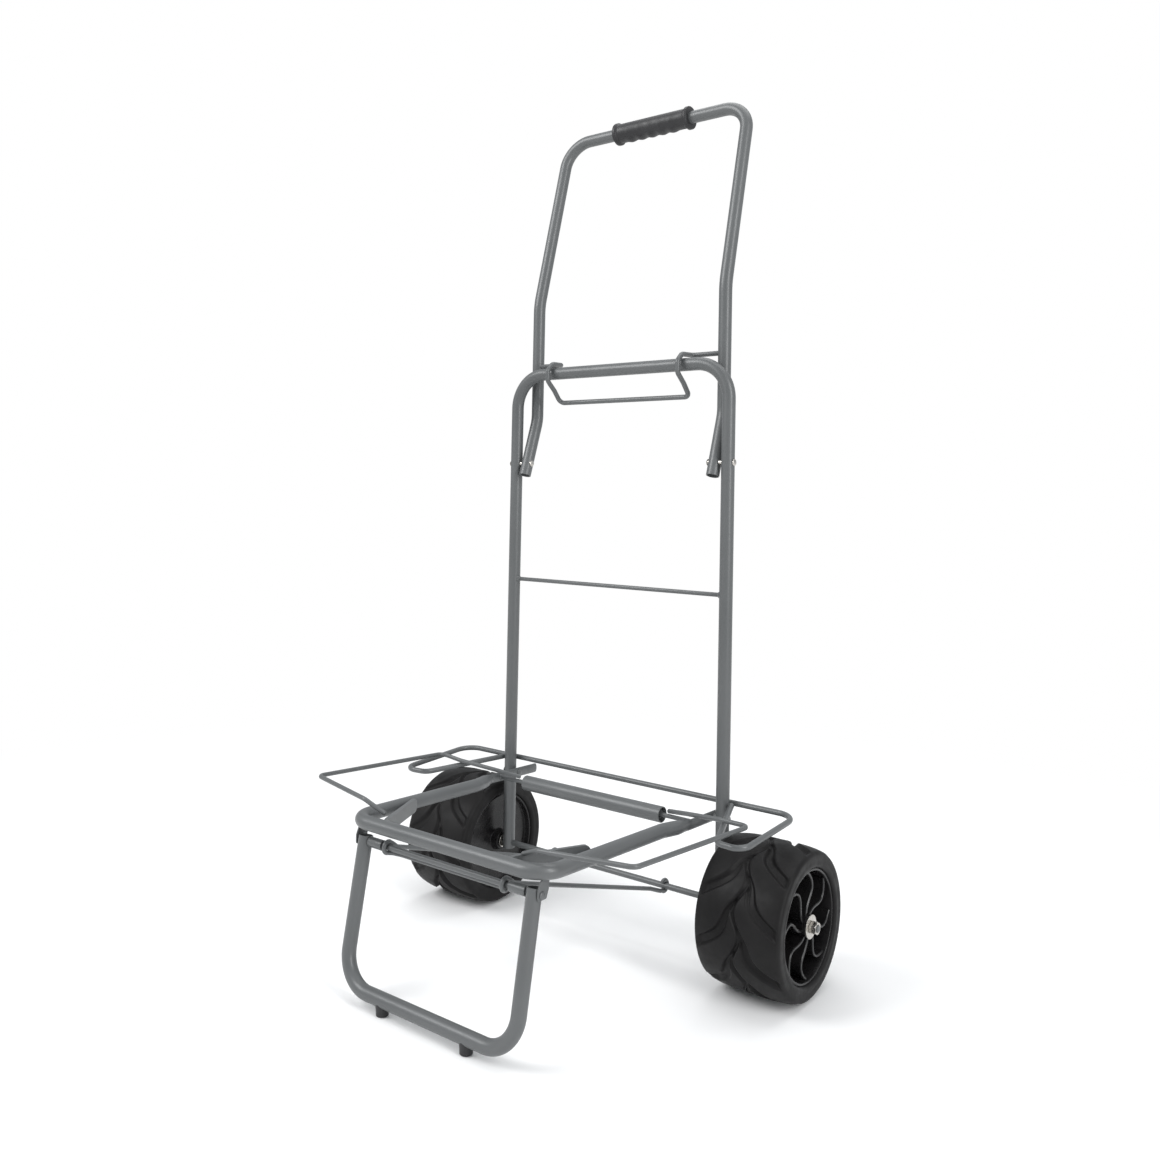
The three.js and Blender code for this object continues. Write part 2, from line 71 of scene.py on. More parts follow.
WASHER = 1.8
WASHER_R = 13.0
SPACER_R = 9.0
PLATE = 1.8
NUT = 7.5
NUT_R = 7.2
SLEEVE_R = 5.6

# Upright frame
UPRIGHT_X = 164.3
UPRIGHT_BOTTOM = 76.0
FRAME_TOP = 714.4
FRAME_CORNER = 44.0
MID_WIRE_Z = 438.8
HANDLE_PIVOT_Z = 595.0

# Wheels
WHEEL_R = 83.3
WHEEL_IN = 175.0
WHEEL_OUT = 278.5
WHEEL_MID = (WHEEL_IN + WHEEL_OUT) / 2
HALF_WHEEL = (WHEEL_OUT - WHEEL_IN) / 2
RIM_R = 66.0
HUB_OUT = 275.5

# Platform
DECK_Z = 179.3
DECK_SLOPE = 0.0252
SIDE_REAR_X = 140.6
SIDE_FRONT_X = 138.3
TAIL_X = 150.4
TAIL_END = 36.0
FLAT_HALF = 2.5
TAIL_HALF = 6.0
FRONT_Y = -298.0
DECK_CORNER = 28.0
CROSS_Y = -37.0
CROSS_HALF = 105.0
JOGGLE = (52.0, 92.0)
SLEEVE_IN = 92.5
GUSSET_HALF = 39
GUSSET_R = 8
GUSSET_THICK = 4.6
GUSSET_TURN = 65
GUSSET_AT = (109, -252, 185.6)

# Front leg
LEG_X = 122.4
LEG_BOTTOM_Y = -316.8
LEG_BOTTOM_Z = 16.0
FOOT_X = 60.8
BRACE_X = 85.5
ROD_Y = -291.5
ROD_Z = 164.5

# Handle
HANDLE_X = 146.0
HANDLE_TOP_X = 143.5
HANDLE_TOP_Y = 77.0
HANDLE_TOP_Z = 1050.0


# ---------------------------------------------------------------- shape tools
def smoothstep(low, high, x):
    t = np.clip((np.asarray(x, float) - low) / (high - low), 0, 1)
    return t * t * (3 - 2 * t)


def unit(v):
    return v / np.linalg.norm(v)


def rounded(points, radii, step=5):
    """The polyline with each inner corner replaced by an arc, one point for each step degrees."""
    points = [np.array(p, float) for p in points]
    if np.isscalar(radii):
        radii = [radii] * (len(points) - 2)
    out = [points[0]]
    for i in range(1, len(points) - 1):
        corner = points[i]
        before, after = points[i - 1] - corner, points[i + 1] - corner
        room = 0.49 * min(np.linalg.norm(before), np.linalg.norm(after))
        before, after = unit(before), unit(after)
        half = math.acos(np.clip(before @ after, -1, 1)) / 2
        turn = math.pi - 2 * half
        r = min(radii[i - 1], room * math.tan(half))
        if turn < 0.03 or r < 0.2:
            out.append(corner)
            continue
        centre = corner + unit(before + after) * r / math.sin(half)
        start = corner + before * r / math.tan(half) - centre
        axis = unit(np.cross(before, after))
        n = max(3, math.ceil(math.degrees(turn) / step))
        for k in range(n + 1):
            turned = Matrix.Rotation(-turn * k / n, 3, Vector(axis)) @ Vector(start)
            out.append(np.array(turned) + centre)
    out.append(points[-1])
    return np.array(out)


def dense(path, longest):
    """The same path with no step longer than longest."""
    out = [path[0]]
    for a, b in zip(path[:-1], path[1:]):
        n = max(1, math.ceil(np.linalg.norm(b - a) / longest))
        out.extend(a + (b - a) * k / n for k in range(1, n + 1))
    return np.array(out)


def mirrored(points):
    return [(-p[0], p[1], p[2]) for p in points]


def grid_faces(rows, sides, first=0):
    faces = []
    for i in range(rows - 1):
        a, b = first + i * sides, first + (i + 1) * sides
        faces += [(a + k, a + (k + 1) % sides, b + (k + 1) % sides, b + k) for k in range(sides)]
    return faces


def ring_faces(rows, sides):
    """Grid faces whose last row joins back to the first."""
    last = (rows - 1) * sides
    faces = grid_faces(rows, sides)
    faces += [(last + k, last + (k + 1) % sides, (k + 1) % sides, k) for k in range(sides)]
    return faces


def capped_faces(rows, sides):
    """Grid faces with one face over each open end."""
    last = (rows - 1) * sides
    faces = grid_faces(rows, sides)
    faces.append(tuple(range(sides - 1, -1, -1)))
    faces.append(tuple(last + k for k in range(sides)))
    return faces


def tube(path, radius, sides=28, wall=0.0, depth=24.0, chamfer=0.6):
    """A closed bar along the path with softened ends.

    With a wall it is hollow for depth at each end.
    """
    path = np.asarray(path, float)
    tangents = np.gradient(path, axis=0)
    tangents /= np.linalg.norm(tangents, axis=1)[:, None]
    guess = np.array([1.0, 0, 0]) if abs(tangents[0][0]) < 0.8 else np.array([0, 0, 1.0])
    normal = unit(guess - tangents[0] * (guess @ tangents[0]))
    rings = []

    def ring(centre, n, t, r):
        b = np.cross(t, n)
        angles = np.arange(sides) * 2 * math.pi / sides
        return centre + r * (np.cos(angles)[:, None] * n + np.sin(angles)[:, None] * b)

    normals = []
    for t in tangents:
        normal = unit(normal - t * (normal @ t))
        normals.append(normal)
    first, last = tangents[0], tangents[-1]
    c = min(chamfer, radius * 0.4)
    if wall > 0:
        inner = radius - wall
        rings.append(ring(path[0] + first * depth, normals[0], first, inner))
        rings.append(ring(path[0] + first * 0.2, normals[0], first, inner))
        rings.append(ring(path[0], normals[0], first, inner + 0.25))
        rings.append(ring(path[0], normals[0], first, radius - 0.35))
        rings.append(ring(path[0] + first * 0.35, normals[0], first, radius))
    else:
        rings.append(ring(path[0], normals[0], first, radius - c))
        rings.append(ring(path[0] + first * c * 0.3, normals[0], first, radius - c * 0.3))
        rings.append(ring(path[0] + first * c, normals[0], first, radius))
    for i in range(1, len(path) - 1):
        rings.append(ring(path[i], normals[i], tangents[i], radius))
    if wall > 0:
        rings.append(ring(path[-1] - last * 0.35, normals[-1], last, radius))
        rings.append(ring(path[-1], normals[-1], last, radius - 0.35))
        rings.append(ring(path[-1], normals[-1], last, inner + 0.25))
        rings.append(ring(path[-1] - last * 0.2, normals[-1], last, inner))
        rings.append(ring(path[-1] - last * depth, normals[-1], last, inner))
    else:
        rings.append(ring(path[-1] - last * c, normals[-1], last, radius))
        rings.append(ring(path[-1] - last * c * 0.3, normals[-1], last, radius - c * 0.3))
        rings.append(ring(path[-1], normals[-1], last, radius - c))
    return np.vstack(rings), capped_faces(len(rings), sides)


def turned(profile, segments=64, closed=False):
    """A piece turned about X: profile points are [x, radius]. A closed profile makes a ring."""
    profile = np.asarray(profile, float)
    angles = np.arange(segments) * 2 * math.pi / segments
    verts = np.array(
        [[x, -r * math.sin(a), r * math.cos(a)] for x, r in profile for a in angles]
    )
    joined = ring_faces if closed else capped_faces
    return verts, joined(len(profile), segments)


def soft_profile(points, radius, closed=False, step=18):
    """A [x, radius] outline with its corners rounded."""
    flat = [(p[0], p[1], 0.0) for p in points]
    if closed:
        ring = [flat[-1]] + flat + [flat[0]]
        return rounded(ring, radius, step)[1:-1][:, :2]
    return rounded(flat, radius, step)[:, :2]


def slab(outline, thickness, chamfer=0.5):
    """A flat plate in the XY plane, centred on z 0, with chamfered edges. The outline is convex."""
    outline = np.asarray(outline, float)
    centre = outline.mean(axis=0)
    inward = centre - outline
    inward /= np.linalg.norm(inward, axis=1)[:, None]
    inner = outline + inward * chamfer
    h = thickness / 2
    layers = [(inner, -h), (outline, -h + chamfer), (outline, h - chamfer), (inner, h)]
    verts = np.vstack([np.c_[xy, np.full(len(xy), z)] for xy, z in layers])
    return verts, capped_faces(len(layers), len(outline))


def moved(part, offset=(0, 0, 0), matrix=None):
    verts, faces = part
    verts = np.asarray(verts, float)
    if matrix is not None:
        verts = verts @ np.array(matrix.to_3x3()).T
    return verts + np.array(offset, float), faces


def along(part, start, direction):
    """A piece turned about X, stood at start with its axis along direction."""
    turn = Vector((1, 0, 0)).rotation_difference(Vector(direction)).to_matrix()
    return moved(part, start, turn)


def merged(*parts):
    verts, faces, count = [], [], 0
    for v, f in parts:
        verts.append(np.asarray(v, float))
        faces += [tuple(i + count for i in face) for face in f]
        count += len(v)
    return np.vstack(verts), faces


def make(name, part, material, body, slot, nodes=(), sharp=38):
    """One shown piece. It rides on the body and stands for the named CAD nodes."""
    verts, faces = part
    mesh = bpy.data.meshes.new(name)
    mesh.from_pydata(((verts + (0, CENTRE_Y, 0)) / 1000).tolist(), [], [list(f) for f in faces])
    mesh.update()
    bm = bmesh.new()
    bm.from_mesh(mesh)
    bmesh.ops.recalc_face_normals(bm, faces=bm.faces)
    bm.to_mesh(mesh)
    bm.free()
    mesh.polygons.foreach_set("use_smooth", [True] * len(mesh.polygons))
    mesh.set_sharp_from_angle(angle=math.radians(sharp))
    mesh.materials.append(material)
    piece = bpy.data.objects.new(name, mesh)
    bpy.context.scene.collection.objects.link(piece)
    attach(piece, body)
    if nodes:
        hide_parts(*nodes)
    return piece


def shown(node, part, material, slot, **options):
    """The shown piece that stands for one CAD node."""
    return make("shown_" + node, part, material, BODY_OF[node], slot, (node,), **options)


# ---------------------------------------------------------------- materials
class Nodes:
    """A material's node tree, with the few kinds of node that the finishes use."""

    def __init__(self, name):
        self.material = bpy.data.materials.new(name)
        self.material.use_nodes = True
        self.tree = self.material.node_tree
        self.shader = self.tree.nodes["Principled BSDF"]
        self.place = self.tree.nodes.new("ShaderNodeTexCoord").outputs["Object"]

    def link(self, a, b):
        self.tree.links.new(a, b)

    def noise(self, scale, detail=2.0, roughness=0.5, stretch=None, distortion=0.0):
        node = self.tree.nodes.new("ShaderNodeTexNoise")
        node.inputs["Scale"].default_value = scale
        node.inputs["Detail"].default_value = detail
        node.inputs["Roughness"].default_value = roughness
        node.inputs["Distortion"].default_value = distortion
        if stretch is None:
            self.link(self.place, node.inputs["Vector"])
        else:
            scaled = self.tree.nodes.new("ShaderNodeMapping")
            scaled.inputs["Scale"].default_value = stretch
            self.link(self.place, scaled.inputs["Vector"])
            self.link(scaled.outputs["Vector"], node.inputs["Vector"])
        return node.outputs["Fac"]

    def cells(self, scale):
        node = self.tree.nodes.new("ShaderNodeTexVoronoi")
        node.inputs["Scale"].default_value = scale
        self.link(self.place, node.inputs["Vector"])
        return node.outputs["Distance"]

    def ranged(self, value, low, high, to_low, to_high):
        node = self.tree.nodes.new("ShaderNodeMapRange")
        node.inputs["From Min"].default_value = low
        node.inputs["From Max"].default_value = high
        node.inputs["To Min"].default_value = to_low
        node.inputs["To Max"].default_value = to_high
        self.link(value, node.inputs["Value"])
        return node.outputs["Result"]

    def maths(self, kind, a, b):
        node = self.tree.nodes.new("ShaderNodeMath")
        node.operation = kind
        for socket, value in zip(node.inputs, (a, b)):
            if isinstance(value, (int, float)):
                socket.default_value = value
            else:
                self.link(value, socket)
        return node.outputs["Value"]

    def mix(self, factor, a, b):
        node = self.tree.nodes.new("ShaderNodeMix")
        node.data_type = "RGBA"
        self.link(factor, node.inputs["Factor"])
        sockets = [s for s in node.inputs if s.type == "RGBA"]
        for socket, value in zip(sockets, (a, b)):
            if isinstance(value, tuple):
                socket.default_value = (*value, 1)
            else:
                self.link(value, socket)
        return [s for s in node.outputs if s.type == "RGBA"][0]

    def bump(self, height, distance, strength=1.0, before=None):
        node = self.tree.nodes.new("ShaderNodeBump")
        node.inputs["Strength"].default_value = strength
        node.inputs["Distance"].default_value = distance
        self.link(height, node.inputs["Height"])
        if before is not None:
            self.link(before, node.inputs["Normal"])
        return node.outputs["Normal"]

    def finish(self, colour, roughness, normal, **constants):
        self.link(colour, self.shader.inputs["Base Color"])
        self.link(roughness, self.shader.inputs["Roughness"])
        self.link(normal, self.shader.inputs["Normal"])
        for name, value in constants.items():
            self.shader.inputs[name.replace("_", " ")].default_value = value
        return self.material


def grey_paint():
    """Powder coat: satin, faint orange peel, slow tone drift, a few small scuffs."""
    n = Nodes("grey_paint")
    tone = n.ranged(n.noise(11, 3), 0.3, 0.7, 0, 1)
    speck = n.ranged(n.noise(1500, 1), 0.35, 0.65, 0, 1)
    scuff = n.ranged(n.noise(95, 6, 0.72, stretch=(1, 1, 0.35)), 0.66, 0.72, 0, 1)
    base = n.mix(tone, (0.086, 0.091, 0.093), (0.106, 0.111, 0.113))
    base = n.mix(n.maths("MULTIPLY", speck, 0.07), base, (0.17, 0.178, 0.182))
    base = n.mix(n.maths("MULTIPLY", scuff, 0.35), base, (0.19, 0.195, 0.195))
    rough = n.ranged(n.noise(38, 4, 0.6), 0.3, 0.7, 0.40, 0.48)
    rough = n.maths("ADD", rough, n.maths("MULTIPLY", scuff, 0.16))
    peel = n.bump(n.noise(420, 2, 0.5), 0.00022, 0.12)
    peel = n.bump(scuff, 0.00005, 0.2, before=peel)
    return n.finish(base, rough, peel, Metallic=0.1, Coat_Weight=0.22, Coat_Roughness=0.24)


def zinc_steel():
    """Bright zinc plate: fine turning marks, cloudy tone, slightly warm."""
    n = Nodes("zinc_steel")
    cloud = n.ranged(n.noise(260, 4, 0.6), 0.3, 0.7, 0, 1)
    turning = n.noise(900, 3, 0.6, stretch=(3.2, 0.4, 0.4))
    base = n.mix(cloud, (0.42, 0.40, 0.37), (0.62, 0.60, 0.565))
    rough = n.ranged(n.noise(500, 3, 0.6), 0.3, 0.7, 0.2, 0.36)
    return n.finish(base, rough, n.bump(turning, 0.00006, 0.5), Metallic=1.0)


def tyre_rubber():
    """Moulded tyre compound: charcoal, matt, faint bloom and fine grain."""
    n = Nodes("tyre_rubber")
    bloom = n.ranged(n.noise(26, 5, 0.62), 0.35, 0.7, 0, 1)
    grain = n.noise(1900, 3, 0.6)
    base = n.mix(bloom, (0.0040, 0.0037, 0.0039), (0.0085, 0.0079, 0.0081))
    base = n.mix(n.ranged(grain, 0.55, 0.8, 0, 0.4), base, (0.015, 0.0142, 0.014))
    rough = n.ranged(n.noise(70, 4, 0.6), 0.3, 0.7, 0.44, 0.62)
    soft = n.bump(n.noise(160, 3, 0.6), 0.0004, 0.35)
    grained = n.bump(grain, 0.0001, 0.45, before=soft)
    return n.finish(base, rough, grained, Metallic=0.0, Specular_IOR_Level=0.22)


def rim_plastic():
    """Black moulded plastic: glossy, with faint flow marks."""
    n = Nodes("rim_plastic")
    flow = n.ranged(n.noise(34, 4, 0.6, distortion=0.8), 0.35, 0.65, 0, 1)
    base = n.mix(flow, (0.0065, 0.0062, 0.0066), (0.0125, 0.0118, 0.0122))
    rough = n.ranged(n.noise(60, 4, 0.62), 0.3, 0.7, 0.2, 0.34)
    waves = n.bump(n.noise(120, 2, 0.5), 0.0003, 0.25)
    fine = n.bump(n.noise(1300, 2), 0.00004, 0.3, before=waves)
    return n.finish(base, rough, fine, Metallic=0.0, Specular_IOR_Level=0.3)


def black_rubber():
    """Soft moulded rubber of the grip and feet: black, satin, finely pebbled."""
    n = Nodes("black_rubber")
    tone = n.ranged(n.noise(70, 4, 0.6), 0.3, 0.7, 0, 1)
    base = n.mix(tone, (0.0085, 0.0085, 0.0095), (0.019, 0.019, 0.021))
    rough = n.ranged(n.noise(140, 4, 0.6), 0.3, 0.7, 0.4, 0.55)
    return n.finish(base, rough, n.bump(n.cells(1400), 0.00012, 0.35), Metallic=0.0)


PAINT = grey_paint()
ZINC = zinc_steel()
TYRE = tyre_rubber()
RIM = rim_plastic()
RUBBER = black_rubber()
PAINT_SLOT = "grey_paint"
ZINC_SLOT = "zinc_steel"
SIDES = [(1, "left"), (-1, "right")]


def weld(name, start, direction, radius, size, body):
    """A small weld bead where a bar of that radius meets a tube, with an uneven surface."""
    rings = [
        (-0.8, radius * 0.8),
        (-0.8, radius + size),
        (0.25 * size, radius + 0.86 * size),
        (0.7 * size, radius + 0.45 * size),
        (1.2 * size, radius + 0.14 * size),
        (1.6 * size, radius * 0.8),
    ]
    verts, faces = turned(rings, 28)
    angle = np.arctan2(verts[:, 1], verts[:, 2])
    ripple = 1 + 0.07 * np.sin(5 * angle + start[2]) + 0.05 * np.sin(9 * angle + start[0])
    verts[:, 1:] *= ripple[:, None]
    make(name, along((verts, faces), start, direction), PAINT, body, PAINT_SLOT, sharp=60)


def dome(x0, x1, r):
    """A shank from x0 to x1 with a domed rivet head at each end."""
    cap = [(0.0, 1.3), (-0.4, 1.28), (-0.9, 1.12), (-1.3, 0.82), (-1.55, 0.45), (-1.6, 0.04)]
    left = [(x0 + dx, r * k) for dx, k in reversed(cap)]
    right = [(x1 - dx, r * k) for dx, k in cap]
    return turned([*left, (x0, r), (x1, r), *right], 36)


# ---------------------------------------------------------------- upright frame
def upright_frame():
    path = rounded(
        [
            (-UPRIGHT_X, 0, UPRIGHT_BOTTOM),
            (-UPRIGHT_X, 0, FRAME_TOP),
            (UPRIGHT_X, 0, FRAME_TOP),
            (UPRIGHT_X, 0, UPRIGHT_BOTTOM),
        ],
        FRAME_CORNER,
        4,
    )
    shown("upright_frame", tube(path, TUBE, 32, WALL), PAINT, PAINT_SLOT)
    half = UPRIGHT_X - TUBE - GAP
    wire = tube([(-half, 0, MID_WIRE_Z), (0, 0, MID_WIRE_Z), (half, 0, MID_WIRE_Z)], WIRE, 20)
    shown("mid_cross_wire", wire, PAINT, PAINT_SLOT)
    for s, side in SIDES:
        start = (s * (UPRIGHT_X - TUBE + 0.4), 0, MID_WIRE_Z)
        weld("weld_mid_" + side, start, (-s, 0, 0), WIRE, 2.0, "frame")


def guard_wire():
    half = [(253, 11.8, 196), (252, -112, 188.5), (218, -106, 188), (176, 0, 196.5)]
    path = rounded([*mirrored(half)[::-1], *half], [15, 15, 22, 22, 15, 15], 8)
    shown("wheel_guard_wire", tube(path, GUARD_WIRE, 20), PAINT, PAINT_SLOT)


def rivets():
    for s, side in SIDES:
        outer = UPRIGHT_X + TUBE + GAP
        handle_inner = HANDLE_X - HANDLE_TUBE - GAP
        tail_inner = TAIL_X - FLAT_HALF - GAP
        for kind, inner, z, material, slot in (
            ("handle_rivet_", handle_inner, HANDLE_PIVOT_Z, ZINC, ZINC_SLOT),
            ("platform_rivet_", tail_inner, DECK_Z, PAINT, PAINT_SLOT),
        ):
            ends = (inner, outer) if s > 0 else (-outer, -inner)
            shown(kind + side, moved(dome(*ends, ROD), (0, 0, z)), material, slot)


def washer(s, x0, x1, radius):
    outline = [(s * x0, AXLE + GAP), (s * x0, radius), (s * x1, radius), (s * x1, AXLE + GAP)]
    return moved(turned(soft_profile(outline, 0.35, True), 48, True), (0, 0, WHEEL_R))


def axle_parts():
    washer_in = HUB_OUT + 0.5
    nut_in = washer_in + WASHER + GAP
    end = nut_in + NUT + 1.2
    rod = tube([(-end, 0, WHEEL_R), (0, 0, WHEEL_R), (end, 0, WHEEL_R)], AXLE, 24)
    shown("axle", rod, PAINT, PAINT_SLOT)
    for s, side in SIDES:
        spacer = washer(s, UPRIGHT_X + TUBE + 0.5, WHEEL_IN - 0.9, SPACER_R)
        shown("spacer_washer_" + side, spacer, ZINC, ZINC_SLOT)
        outside = washer(s, washer_in, washer_in + WASHER, WASHER_R)
        shown("axle_washer_" + side, outside, ZINC, ZINC_SLOT)
        shown("axle_nut_" + side, nut(s, nut_in), ZINC, ZINC_SLOT, sharp=25)


def nut(s, x0):
    """A hexagon nut with chamfered corners round the axle's threaded end."""
    x1 = x0 + NUT
    segments = 48
    flat = NUT_R * math.cos(math.pi / 6)
    layers = [
        (x0, AXLE + GAP),
        (x0, NUT_R * 0.93),
        (x0 + 0.6, NUT_R),
        (x1 - 0.8, NUT_R),
        (x1, NUT_R * 0.9),
        (x1, AXLE + 0.9),
        (x1 - 0.6, AXLE + GAP),
    ]
    verts = []
    for x, limit in layers:
        for k in range(segments):
            a = 2 * math.pi * k / segments
            r = min(flat / math.cos((a % (math.pi / 3)) - math.pi / 6), limit)
            verts.append((s * x, -r * math.sin(a), r * math.cos(a)))
    return moved((np.array(verts), ring_faces(len(layers), segments)), (0, 0, WHEEL_R))


# ---------------------------------------------------------------- wheels
LUGS = 9
LUG_DEPTH = 4.5
SIDEWALL_R = 68.0
CROWN = 4.2
SHOULDER = 4.0


def lug_height(across, angle):
    """1 on a lug's top, 0 in a groove. Lugs curve from the middle to the shoulders."""
    pitch = 2 * math.pi / LUGS
    zigzag = 0.10 * np.sin(LUGS * angle)
    side = np.where(across - zigzag < 0, 0.0, 0.5)
    a = np.abs(across - zigzag)
    bend = 0.78 * a**0.6
    phase = (angle + bend) / pitch + side
    near = np.abs(phase - np.round(phase))
    width = 0.055 + 0.05 * smoothstep(0.2, 0.9, a)
    groove = 1 - smoothstep(width, width + 0.085, near)
    groove = groove * (1 - smoothstep(0.80, 0.99, np.abs(across)))
    middle = 0.75 * (1 - smoothstep(0.015, 0.075, a))
    return 1 - np.maximum(groove, middle)


def tyre(s):
    around = 432
    flat = HALF_WHEEL - SHOULDER
    bead = [
        (HALF_WHEEL - 2.2, RIM_R - 3.8),
        (HALF_WHEEL - 0.8, RIM_R - 2.6),
        (HALF_WHEEL - 0.1, RIM_R - 0.5),
        (HALF_WHEEL, SIDEWALL_R),
        (HALF_WHEEL - 0.25, SIDEWALL_R + 1.5),
        (HALF_WHEEL, SIDEWALL_R + 3.0),
    ]
    rows = [(np.full(around, -x), np.full(around, r)) for x, r in bead]
    angle = np.arange(around) * 2 * math.pi / around
    round_edge = [
        (flat + SHOULDER * math.sin(a), SHOULDER * (1 - math.cos(a)))
        for a in np.radians(np.linspace(12, 90, 8))
    ]
    across = [(-x, drop) for x, drop in reversed(round_edge)]
    across += [(x, 0.0) for x in np.linspace(-flat, flat, 89)]
    across += round_edge
    for x, drop in across:
        crown = WHEEL_R - CROWN * abs(x / HALF_WHEEL) ** 4 - drop
        sunk = LUG_DEPTH * (1 - lug_height(np.full(around, x / HALF_WHEEL), angle))
        rows.append((np.full(around, x), crown - sunk))
    rows += [(np.full(around, x), np.full(around, r)) for x, r in reversed(bead)]
    verts = np.vstack([np.c_[x, -r * np.sin(angle), -r * np.cos(angle)] for x, r in rows])
    faces = ring_faces(len(rows), around)
    if s < 0:
        verts = verts * (-1, 1, 1)
    return moved((verts, faces), (s * WHEEL_MID, 0, WHEEL_R))


RIBS = 8
RIB_HALF = 1.6
DRUM_R = RIM_R - 8.5
LIP_R = RIM_R - 4.2
WEB_IN = WHEEL_IN + 10
WEB_OUT = WEB_IN + 4
RIM_END = WHEEL_OUT - 3
RIB_END = RIM_END - 2.5
RIB_START_R = 10.5
RIB_SWEEP = 0.32


def rib(turn_at):
    """One curved rib of the rim, from the web to just inside the lip."""
    line = []
    for k in np.linspace(0, 3, 13):
        r = RIB_START_R + (DRUM_R + 1 - RIB_START_R) * k / 3
        turn = turn_at + RIB_SWEEP * math.sin(math.pi * (k - 0.6) / 2.4)
        line.append((-r * math.sin(turn), r * math.cos(turn)))
    line = np.array(line)
    tangent = np.gradient(line, axis=0)
    tangent /= np.linalg.norm(tangent, axis=1)[:, None]
    side = np.c_[-tangent[:, 1], tangent[:, 0]]
    x0, x1 = WEB_OUT - 1, RIB_END
    section = [
        (x0, RIB_HALF),
        (x1 - 0.8, RIB_HALF),
        (x1, RIB_HALF - 0.7),
        (x1, 0.7 - RIB_HALF),
        (x1 - 0.8, -RIB_HALF),
        (x0, -RIB_HALF),
    ]
    verts = []
    for centre, across in zip(line, side):
        for x, d in section:
            z, y = centre + across * d
            verts.append((x, y, z))
    return np.array(verts), capped_faces(len(line), len(section))


def rim(s):
    start = WHEEL_IN + 3
    outline = [
        (start, DRUM_R + 1.5),
        (start, LIP_R),
        (RIM_END, LIP_R),
        (RIM_END, DRUM_R + 1.5),
        (RIM_END - 12, DRUM_R),
        (WEB_OUT, DRUM_R),
        (WEB_OUT, 14),
        (HUB_OUT, 12),
        (HUB_OUT, AXLE + GAP),
        (WHEEL_IN, AXLE + GAP),
        (WHEEL_IN, 12),
        (WEB_IN, 14),
        (WEB_IN, DRUM_R),
    ]
    body = turned(soft_profile(outline, 0.9, True), 96, True)
    parts = [body] + [rib(i * 2 * math.pi / RIBS) for i in range(RIBS)]
    verts, faces = merged(*parts)
    return moved((verts * (s, 1, 1), faces), (0, 0, WHEEL_R))


def wheels():
    for s, side in SIDES:
        shown("tyre_" + side, tyre(s), TYRE, "tyre_rubber", sharp=60)
        shown("rim_" + side, rim(s), RIM, "rim_plastic")


# ---------------------------------------------------------------- handle
def handle():
    leg = [
        (HANDLE_X, -4, 579),
        (HANDLE_X, 20, 655),
        (HANDLE_X, 20, 812.6),
        (HANDLE_TOP_X, HANDLE_TOP_Y, HANDLE_TOP_Z),
    ]
    path = rounded([*mirrored(leg), *leg[::-1]], [50, 90, 36, 36, 90, 50], 4)
    shown("handle_tube", tube(path, HANDLE_TUBE, 32, WALL, 14), PAINT, PAINT_SLOT)
    shown("handle_grip", grip(), RUBBER, "black_rubber", sharp=50)


GRIP_HALF = 59.0
GRIP_SHIFT = -1.3
GRIP_R = 13.1
COLLAR = 1.9
SWELL = 1.5
SWELL_PITCH = 16.7
FIRST_SWELL = -36.0
SWELLS_FROM, SWELLS_TO = -44.4, 39.2


def grip():
    """A moulded sleeve: a collar at each end, and five swells along its lower side."""
    half = GRIP_HALF
    ends = [np.linspace(-half, -52, 12), np.linspace(52, half, 12)]
    xs = np.concatenate([ends[0], np.linspace(-51, 51, 100), ends[1]])
    around = 56
    angle = np.arange(around) * 2 * math.pi / around
    below = (0.5 - 0.5 * np.cos(angle)) ** 1.3
    bore = np.full(around, HANDLE_TUBE + GAP)
    rows = [(np.full(around, -half), bore)]
    for x in xs:
        collar = smoothstep(half - 7, half - 4.2, abs(x))
        edge = smoothstep(half - 1.2, half, abs(x)) ** 2
        wave = 0.5 + 0.5 * math.cos(2 * math.pi * (x - FIRST_SWELL) / SWELL_PITCH)
        swell = wave if SWELLS_FROM < x < SWELLS_TO else 0.0
        r = GRIP_R + below * (SWELL * swell - 0.7) * (1 - collar) + COLLAR * collar - edge
        rows.append((np.full(around, x), r * np.ones(around)))
    rows.append((np.full(around, half), bore))
    verts = np.vstack([np.c_[x, -r * np.sin(angle), r * np.cos(angle)] for x, r in rows])
    faces = ring_faces(len(rows), around)
    return moved((verts, faces), (GRIP_SHIFT, HANDLE_TOP_Y, HANDLE_TOP_Z))


def latch():
    half = [
        (HANDLE_X - 5, 18, 728),
        (102, 18, 728),
        (101, -5, 727),
        (101, -14.5, 718),
        (101, -14.5, 704),
        (101, 0, 692),
        (101, 14, 676.5),
    ]
    bends = [6, 8, 7, 8, 12, 7]
    path = rounded([*half, *mirrored(half)[::-1]], bends + bends[::-1], 9)
    shown("latch_bail", tube(path, BAIL_WIRE, 20), PAINT, PAINT_SLOT)


# ---------------------------------------------------------------- platform
def deck_height(y):
    return DECK_Z - DECK_SLOPE * y


def deck_path(step=4):
    plan = [
        (TAIL_X, TAIL_END),
        (TAIL_X, -JOGGLE[0]),
        (SIDE_REAR_X, -JOGGLE[1]),
        (SIDE_FRONT_X, FRONT_Y),
    ]
    side = [(x, y, deck_height(y)) for x, y in plan]
    bends = [30, 30, DECK_CORNER, DECK_CORNER, 30, 30]
    return rounded([*side, *mirrored(side)[::-1]], bends, step)


